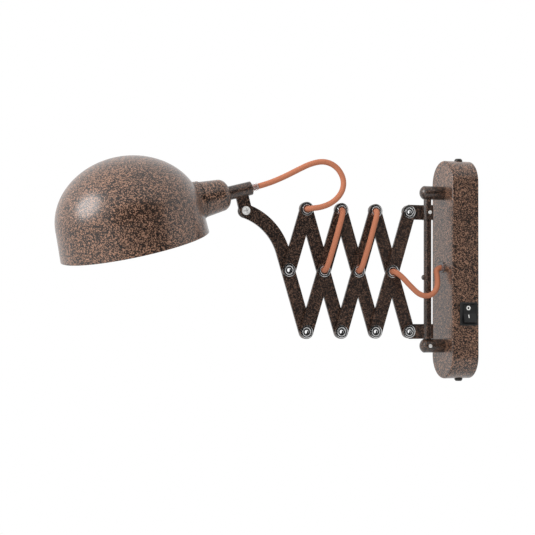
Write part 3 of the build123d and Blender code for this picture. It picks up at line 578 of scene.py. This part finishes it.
# ---- rivets ----
def rivet_tree(name, seams):
    """Places a hollow rivet, or thin dark rings of painted shade where its lips meet its flanges, on each point.
    """
    tree = bpy.data.node_groups.new(name, "GeometryNodeTree")
    face = tree.interface
    face.new_socket("Points", in_out="INPUT", socket_type="NodeSocketGeometry")
    for size in ("Hole", "Flange", "Plate", "Curl", "Front", "Back"):
        face.new_socket(size, in_out="INPUT", socket_type="NodeSocketFloat")
    face.new_socket("Metal", in_out="INPUT", socket_type="NodeSocketMaterial")
    face.new_socket("Rivets", in_out="OUTPUT", socket_type="NodeSocketGeometry")
    nodes, links = tree.nodes, tree.links
    given = nodes.new("NodeGroupInput")
    result = nodes.new("NodeGroupOutput")

    def put(target, value):
        if hasattr(value, "is_output"):
            links.new(value, target)
        else:
            target.default_value = value

    def add(kind, inputs=(), **settings):
        made = nodes.new(kind)
        for key, value in settings.items():
            setattr(made, key, value)
        pairs = inputs.items() if isinstance(inputs, dict) else enumerate(inputs)
        for key, value in pairs:
            put(made.inputs[key], value)
        return made

    def maths(operation, first, second):
        return add("ShaderNodeMath", [first, second], operation=operation).outputs[0]

    def circle(radius, steps):
        inputs = {"Resolution": steps, "Radius": radius}
        return add("GeometryNodeCurvePrimitiveCircle", inputs, mode="RADIUS").outputs[0]

    def ring(radius, outline, height):
        """Sweeps a closed outline round a circle of that radius, at that height along Z."""
        path = circle(radius, 48)
        swept = add("GeometryNodeCurveToMesh", {"Curve": path, "Profile Curve": outline}).outputs[0]
        shift = add("ShaderNodeCombineXYZ", {"Z": height}).outputs[0]
        return add("GeometryNodeTransform", {"Geometry": swept, "Translation": shift}).outputs[0]

    def plate_outline(width, thick):
        """A rectangle with its corners rounded."""
        flat = add("GeometryNodeCurvePrimitiveQuadrilateral", {"Width": width, "Height": thick})
        bend = maths("MULTIPLY", thick, 0.42)
        inputs = {"Curve": flat.outputs[0], "Radius": bend, "Count": 2}
        return add("GeometryNodeFilletCurve", inputs, mode="POLY").outputs[0]

    hole, flange = given.outputs["Hole"], given.outputs["Flange"]
    plate, curl = given.outputs["Plate"], given.outputs["Curl"]
    front, back = given.outputs["Front"], given.outputs["Back"]
    half = maths("MULTIPLY", plate, 0.5)
    # Painted shade: a thin dark ring on each face, just outside the rolled lip, a little proud of the flange.
    if seams:
        radius = maths("ADD", hole, maths("MULTIPLY", curl, 2.75))
        outline = plate_outline(maths("MULTIPLY", curl, 0.8), half)
        proud = maths("MULTIPLY", plate, 0.9)
        parts = [
            ring(radius, outline, maths("ADD", front, proud)),
            ring(radius, outline, maths("SUBTRACT", back, proud)),
        ]
    else:
        width = maths("SUBTRACT", flange, hole)
        mean = maths("MULTIPLY", maths("ADD", flange, hole), 0.5)
        lip = circle(curl, 12)
        lip_radius = maths("ADD", hole, maths("MULTIPLY", curl, 1.1))
        wall = maths("MULTIPLY", curl, 0.9)
        span = maths("SUBTRACT", front, back)
        centre = maths("MULTIPLY", maths("ADD", front, back), 0.5)
        parts = [
            ring(mean, plate_outline(width, plate), maths("ADD", front, half)),
            ring(mean, plate_outline(width, plate), maths("SUBTRACT", back, half)),
            ring(lip_radius, lip, maths("ADD", front, curl)),
            ring(lip_radius, lip, maths("SUBTRACT", back, curl)),
            ring(
                maths("ADD", hole, maths("MULTIPLY", wall, 0.5)), plate_outline(wall, span), centre
            ),
        ]
    joined = add("GeometryNodeJoinGeometry")
    for part in reversed(parts):
        links.new(part, joined.inputs[0])
    spots = add("GeometryNodeMeshToPoints", {"Mesh": given.outputs["Points"]})
    turn = add("FunctionNodeEulerToRotation", {"Euler": (-math.pi / 2, 0.0, 0.0)})
    placed = add(
        "GeometryNodeInstanceOnPoints",
        {"Points": spots.outputs[0], "Instance": joined.outputs[0], "Rotation": turn.outputs[0]},
    )
    real = add("GeometryNodeRealizeInstances", {"Geometry": placed.outputs[0]})
    finished = add(
        "GeometryNodeSetMaterial",
        {"Geometry": real.outputs[0], "Material": given.outputs["Metal"]},
    )
    links.new(finished.outputs[0], result.inputs[0])
    return tree


def from_tree(name, tree, points, values):
    """The plain mesh that a tree makes from some points."""
    mesh = bpy.data.meshes.new(name)
    mesh.from_pydata([tuple(p) for p in points], [], [])
    seed = bpy.data.objects.new(name, mesh)
    bpy.context.scene.collection.objects.link(seed)
    modifier = seed.modifiers.new("tree", "NODES")
    modifier.node_group = tree
    for item in tree.interface.items_tree:
        if item.in_out == "INPUT" and item.name in values:
            modifier[item.identifier] = values[item.name]
    bpy.context.view_layer.update()
    graph = bpy.context.evaluated_depsgraph_get()
    made = bpy.data.meshes.new_from_object(seed.evaluated_get(graph))
    made.name = name
    seed.modifiers.remove(modifier)
    seed.data = made
    bpy.data.meshes.remove(mesh)
    return seed


def outward(piece):
    """Turn a closed piece's faces outwards and smooth all but its sharp edges."""
    sharp = math.radians(40)
    mesh = bmesh.new()
    mesh.from_mesh(piece.data)
    bmesh.ops.remove_doubles(mesh, verts=mesh.verts, dist=1e-7)
    bmesh.ops.recalc_face_normals(mesh, faces=mesh.faces)
    mesh.to_mesh(piece.data)
    mesh.free()
    piece.data.shade_smooth()
    piece.data.set_sharp_from_angle(angle=sharp)


class LAMP_OT_rivets(bpy.types.Operator):
    """Set the hollow rivets, with flat flanges and rolled lips, at every crossing of the bars"""

    bl_idname = "lamp.rivets"
    bl_label = "Rivets"

    def execute(self, context):
        rivets = context.scene.lamp_rivets
        groups = []
        for n in range(3):
            places = (("top", n), ("mid", n), ("low", n + 1))
            groups.append((f"rivets_{n + 1}", f"front_bar_{n + 1}", f"eyelets_{n + 1}", places))
        groups += [
            ("rivets_link", "link", "short_link_eyelets", (("top", 3), ("mid", 3))),
            ("rivet_slider", "slider", "lower_collar_eyelet", (("low", 0),)),
        ]
        trees = (
            ("", rivet_tree("hollow_rivets", seams=False), "bright_steel"),  # the CAD's plain one
            # The second tree lays the rings of painted shade round the lips, in dark metal.
            ("_seams", rivet_tree("rivet_seams", seams=True), "dark_metal_and_painted_shade"),
        )
        for name, body, node, places in groups:
            low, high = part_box(node)
            spots = [(x * MM, 0.0, z * MM) for x, z in (crossing(*place) for place in places)]
            values = {
                "Hole": rivets.hole,
                "Flange": rivets.flange,
                "Plate": rivets.plate,
                "Curl": rivets.curl,
                "Front": high.y - 2 * rivets.curl,
                "Back": low.y + 2 * rivets.curl,
            }
            for ending, tree, metal in trees:
                values["Metal"] = bpy.data.materials[metal]
                piece = from_tree(name + ending, tree, spots, values)
                outward(piece)
                on_body(piece, body, "bright_steel", *([] if ending else [node]))
        return {"FINISHED"}


# ---- switch marks ----
class LAMP_OT_marks(bpy.types.Operator):
    """Print the off ring and the on bar on the rocker's two faces"""

    bl_idname = "lamp.marks"
    bl_label = "Switch marks"

    def execute(self, context):
        hinge = Vector(JOINTS["switch_rock"]["pos_m"])
        turn = math.radians(10)  # half the angle between the rocker's two faces
        from_hinge = 0.0021  # to the line where the faces meet
        line = Vector((0.0, from_hinge * math.cos(turn), from_hinge * math.sin(turn)))
        material = bpy.data.materials["block_white"]  # the CAD's plain one

        def on_face(along, across, slope, lift):
            """A point on the rocker: along its face from the middle line, across it, and off it."""
            way = Vector((0.0, math.sin(slope), math.cos(slope)))
            out = Vector((0.0, math.cos(slope), -math.sin(slope)))
            return hinge + line + Vector((across, 0, 0)) + way * along + out * lift

        aside, proud, sunk = 0.0011, 0.00006, -0.00002
        outer, inner, ring_up = 0.0020, 0.00105, 0.0050
        vertices, faces = [], []
        steps = 40
        for index in range(steps):
            angle = 2 * math.pi * index / steps
            for radius, lift in ((outer, proud), (inner, proud), (inner, sunk), (outer, sunk)):
                across = aside + radius * math.cos(angle)
                vertices.append(on_face(ring_up + radius * math.sin(angle), across, 0.0, lift))
        for index in range(steps):
            a, b = index * 4, ((index + 1) % steps) * 4
            for side in range(4):
                after = (side + 1) % 4
                faces.append((a + side, b + side, b + after, a + after))
        ring = mesh_object("mark_off", vertices, faces, material)
        wide, tall, bar_down = 0.0004, 0.0015, 0.0026
        corners = ((-wide, -tall), (wide, -tall), (wide, tall), (-wide, tall))
        vertices = [
            on_face(along - bar_down, aside + across, -2 * turn, lift)
            for lift in (sunk, proud)
            for across, along in corners
        ]
        sides = [(n, n + 4, (n + 1) % 4 + 4, (n + 1) % 4) for n in range(4)]
        faces = [(0, 1, 2, 3), (7, 6, 5, 4)] + sides
        bar = mesh_object("mark_on", vertices, faces, material, smooth=False)
        for piece in (ring, bar):
            outward(piece)
            on_body(piece, "rocker", "block_white")
        return {"FINISHED"}


# ---- finishes on the CAD pieces ----
class LAMP_OT_finishes(bpy.types.Operator):
    """Make the lacquer, plating, plastic and textile, and give each piece its own"""

    bl_idname = "lamp.finishes"
    bl_label = "Finishes"

    def execute(self, context):
        finishes = make_finishes(context.scene)
        for entry in frame["record"]["subparts"]:
            piece = NODES[entry["node"]]
            piece.data.materials.clear()
            # The box screws take the dark metal that also colours the painted shade round the rivets.
            slot = "dark_metal_and_painted_shade" if entry["node"] == "box_screws" else entry["material_slot"]
            piece.data.materials.append(finishes[slot])
        return {"FINISHED"}


# ---- studio ----
def area_light(name, place, target, size, power, mirrored=False):
    """A round soft light, which shows in reflections only when it is mirrored."""
    lamp = bpy.data.lights.new(name, "AREA")
    lamp.shape = "DISK"
    lamp.size = size
    lamp.energy = power
    light = bpy.data.objects.new(name, lamp)
    light.location = place
    way = Vector(target) - Vector(place)
    light.rotation_euler = way.to_track_quat("-Z", "Y").to_euler()
    light.visible_glossy = mirrored
    bpy.context.scene.collection.objects.link(light)


def backdrop_white(tree, ground, output, white):
    """White to the camera and in reflections, and the given shader to all other rays."""
    nodes, links = tree.nodes, tree.links
    path = nodes.new("ShaderNodeLightPath")
    seen = path.outputs["Is Camera Ray"]
    for ray in ("Is Glossy Ray", "Is Transmission Ray"):
        larger = nodes.new("ShaderNodeMath")
        larger.operation = "MAXIMUM"
        links.new(seen, larger.inputs[0])
        links.new(path.outputs[ray], larger.inputs[1])
        seen = larger.outputs[0]
    mixed = nodes.new("ShaderNodeMixShader")
    links.new(seen, mixed.inputs[0])
    links.new(ground, mixed.inputs[1])
    links.new(white, mixed.inputs[2])
    links.new(mixed.outputs[0], output)


def matt(name, tone, rough):
    """A material of one colour."""
    material = bpy.data.materials.new(name)
    material.use_nodes = True
    shader = material.node_tree.nodes["Principled BSDF"]
    shader.inputs["Base Color"].default_value = (*tone, 1)
    shader.inputs["Roughness"].default_value = rough
    return material


def white_world(scene, studio):
    world = bpy.data.worlds.new("studio")
    world.use_nodes = True
    tree = world.node_tree
    dim = tree.nodes["Background"]
    bright = tree.nodes.new("ShaderNodeBackground")
    for shader, strength in ((dim, studio.ambient), (bright, studio.white)):
        shader.inputs["Color"].default_value = (1, 1, 1, 1)
        shader.inputs["Strength"].default_value = strength
    output = tree.nodes["World Output"].inputs["Surface"]
    backdrop_white(tree, dim.outputs[0], output, bright.outputs[0])
    scene.world = world


def pale_floor(studio):
    material = matt("floor", studio.floor, 0.9)
    tree = material.node_tree
    glow = tree.nodes.new("ShaderNodeEmission")
    glow.inputs["Strength"].default_value = studio.white
    output = tree.nodes["Material Output"].inputs["Surface"]
    backdrop_white(tree, tree.nodes["Principled BSDF"].outputs[0], output, glow.outputs[0])
    reach, depth = 3.0, -0.62
    signs = ((-1, -1), (1, -1), (1, 1), (-1, 1))
    corners = [(reach * x, reach * y, depth) for x, y in signs]
    floor = mesh_object("floor", corners, [(0, 1, 2, 3)], material, smooth=False)


def dark_card():
    """A card behind the camera that shows in reflections alone and deepens the lacquer."""
    material = matt("dark_card", (0.02, 0.02, 0.02), 1.0)
    left, right, low, high, away = -1.5, 2.0, -1.2, 1.5, 2.0
    corners = [(left, away, low), (right, away, low), (right, away, high), (left, away, high)]
    card = mesh_object("dark_card", corners, [(0, 1, 2, 3)], material, smooth=False)
    card.visible_camera = card.visible_diffuse = card.visible_shadow = False


def photo_camera(scene):
    """The camera fitted to the photograph."""
    azimuth, elevation, roll = (math.radians(angle) for angle in PHOTO_ANGLES)
    flat = math.cos(elevation)
    back = Vector((math.sin(azimuth) * flat, math.cos(azimuth) * flat, math.sin(elevation)))
    right = (-back).cross(Vector((0, 0, 1))).normalized()
    up = right.cross(-back)
    turned_right = right * math.cos(roll) + up * math.sin(roll)
    turned_up = up * math.cos(roll) - right * math.sin(roll)
    data = bpy.data.cameras.new("camera")
    data.sensor_width = SENSOR
    data.lens = PHOTO_LENS * SENSOR
    data.clip_start = 0.01
    camera = bpy.data.objects.new("camera", data)
    turn = Matrix((turned_right, turned_up, back)).transposed().to_4x4()
    place = Vector(PHOTO_TARGET) + back * PHOTO_DISTANCE
    camera.matrix_world = Matrix.Translation(place) @ turn
    scene.collection.objects.link(camera)
    scene.camera = camera


class LAMP_OT_studio(bpy.types.Operator):
    """Set the floor, the soft lights, the white world and the camera"""

    bl_idname = "lamp.studio"
    bl_label = "Studio"

    def execute(self, context):
        scene, studio = context.scene, context.scene.lamp_studio
        scene.view_settings.view_transform = "Standard"
        white_world(scene, studio)
        pale_floor(studio)
        dark_card()
        shade = (0.28, 0.0, 0.03)
        area_light("key", (0.85, 1.25, 0.85), (0.25, 0.0, 0.03), 0.8, studio.key)
        area_light("overhead", (0.15, 0.15, 1.30), (0.22, 0.0, 0.0), 0.9, studio.top)
        area_light("side", (1.40, 0.12, 0.53), shade, 0.8, studio.side, mirrored=True)
        photo_camera(scene)
        return {"FINISHED"}


# ---- panel ----
STEPS = (
    LAMP_OT_studio,
    LAMP_OT_finishes,
    LAMP_OT_cord,
    LAMP_OT_rivets,
    LAMP_OT_marks,
)


class LAMP_PT_lamp(bpy.types.Panel):
    """Sizes, colours and the steps that dress the lamp"""

    bl_idname = "LAMP_PT_lamp"
    bl_label = "Scissor wall lamp"
    bl_space_type = "VIEW_3D"
    bl_region_type = "UI"
    bl_category = "Lamp"

    def draw(self, context):
        layout = self.layout
        for name in GROUPS:
            group = getattr(context.scene, name)
            box = layout.box()
            for key in group.bl_rna.properties.keys():
                if key not in {"rna_type", "name"}:
                    box.prop(group, key)
        for step in STEPS:
            layout.operator(step.bl_idname)


GROUPS = {
    "lamp_paint": LampPaint,
    "lamp_cord": LampCord,
    "lamp_rivets": LampRivets,
    "lamp_studio": LampStudio,
}


def register():
    for name, group in GROUPS.items():
        bpy.utils.register_class(group)
        setattr(bpy.types.Scene, name, PointerProperty(type=group))
    for step in STEPS:
        bpy.utils.register_class(step)
    bpy.utils.register_class(LAMP_PT_lamp)


def unregister():
    bpy.utils.unregister_class(LAMP_PT_lamp)
    for step in reversed(STEPS):
        bpy.utils.unregister_class(step)
    for name, group in GROUPS.items():
        delattr(bpy.types.Scene, name)
        bpy.utils.unregister_class(group)


def main():
    register()
    bpy.ops.lamp.studio()
    bpy.ops.lamp.finishes()
    bpy.ops.lamp.cord()
    bpy.ops.lamp.rivets()
    bpy.ops.lamp.marks()


if __name__ == "__main__":
    main()
